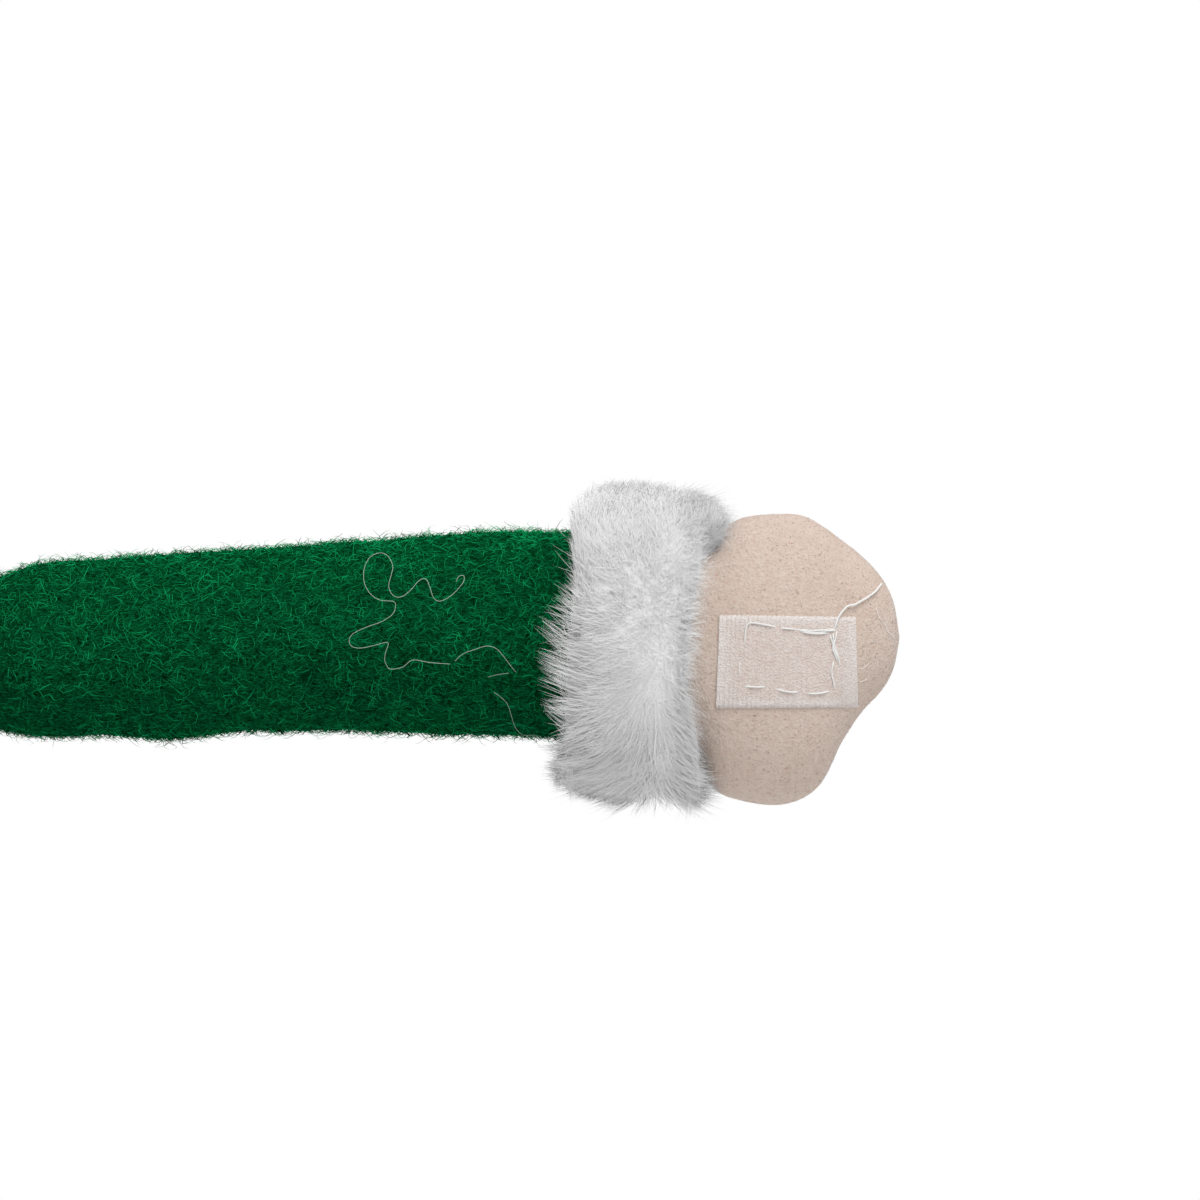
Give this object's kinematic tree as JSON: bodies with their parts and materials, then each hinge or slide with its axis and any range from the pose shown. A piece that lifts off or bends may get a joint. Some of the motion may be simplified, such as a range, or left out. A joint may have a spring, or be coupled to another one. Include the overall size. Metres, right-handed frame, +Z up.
{
  "type": "elf doll",
  "caption": "Soft standing elf doll in a felt suit with fur trims, a bent pointed hat and curled boots; its long arms end in mitten hands with fastening tape on the palms.",
  "frame": {"origin": "on the floor, under the middle of the doll's outer box", "axes": "+Z up; the doll stands and faces -Y; its left arm points along +X"},
  "size_m": [0.5896, 0.1548, 0.6145],
  "materials": {
    "green_felt": "brushed felt",
    "white_fur": "faux fur",
    "skin_plush": "short napped plush",
    "hook_tape": "translucent woven nylon tape",
    "fibre_filling": "loose fibre",
    "brown_felt": "brushed felt",
    "sole_felt": "dense felt",
    "bead_eye": "polished",
    "nose_plush": "short napped plush"
  },
  "bodies": {
    "torso": {"jacket": "green_felt", "torso_filling": "fibre_filling", "neck": "skin_plush", "hem_trim": "white_fur", "collar_trim": "white_fur", "trouser_seat": "green_felt", "pompom_button_1": "white_fur", "pompom_button_2": "white_fur", "pompom_button_3": "white_fur"},
    "head": {"head": "skin_plush", "head_filling": "fibre_filling", "nose": "nose_plush", "left_eye": "bead_eye", "right_eye": "bead_eye", "left_ear": "skin_plush", "right_ear": "skin_plush", "hat": "green_felt", "hat_filling": "fibre_filling", "hat_trim": "white_fur", "hat_pompom": "white_fur"},
    "left_gusset": {"left_shoulder_gusset": "green_felt"},
    "left_arm": {"left_sleeve": "green_felt", "left_arm_filling": "fibre_filling", "left_cuff": "white_fur", "left_hand": "skin_plush", "left_hand_filling": "fibre_filling", "left_hand_patch": "hook_tape"},
    "left_leg": {"left_trouser_leg": "green_felt", "left_leg_filling": "fibre_filling", "left_ankle_trim": "white_fur", "left_boot": "brown_felt", "left_boot_sole": "sole_felt", "left_toe_pompom": "white_fur"},
    "right_gusset": {"right_shoulder_gusset": "green_felt"},
    "right_arm": {"right_sleeve": "green_felt", "right_arm_filling": "fibre_filling", "right_cuff": "white_fur", "right_hand": "skin_plush", "right_hand_filling": "fibre_filling", "right_hand_patch": "hook_tape"},
    "right_leg": {"right_trouser_leg": "green_felt", "right_leg_filling": "fibre_filling", "right_ankle_trim": "white_fur", "right_boot": "brown_felt", "right_boot_sole": "sole_felt", "right_toe_pompom": "white_fur"}
  },
  "joints": [
    {"name": "neck_turn", "type": "hinge", "parent": "torso", "child": "head", "pos_m": [0, 0.01256, 0.4033], "axis": [0, 0, 1], "range_deg": [-45, 45]},
    {"name": "left_shoulder_raise", "type": "hinge", "parent": "torso", "child": "left_gusset", "pos_m": [0.05835, 0.01256, 0.38228], "axis": [0, -1, 0], "range_deg": [-70, 55]},
    {"name": "left_shoulder_swing", "type": "hinge", "parent": "left_gusset", "child": "left_arm", "pos_m": [0.05835, 0.01256, 0.38228], "axis": [0, 0, -1], "range_deg": [-30, 95]},
    {"name": "right_shoulder_raise", "type": "hinge", "parent": "torso", "child": "right_gusset", "pos_m": [-0.05835, 0.01256, 0.38228], "axis": [0, 1, 0], "range_deg": [-70, 55]},
    {"name": "right_shoulder_swing", "type": "hinge", "parent": "right_gusset", "child": "right_arm", "pos_m": [-0.05835, 0.01256, 0.38228], "axis": [0, 0, 1], "range_deg": [-30, 95]},
    {"name": "left_hip_swing", "type": "hinge", "parent": "torso", "child": "left_leg", "pos_m": [0.032, 0.01256, 0.235], "axis": [-1, 0, 0], "range_deg": [-25, 90]},
    {"name": "right_hip_swing", "type": "hinge", "parent": "torso", "child": "right_leg", "pos_m": [-0.032, 0.01256, 0.235], "axis": [-1, 0, 0], "range_deg": [-25, 90]}
  ]
}
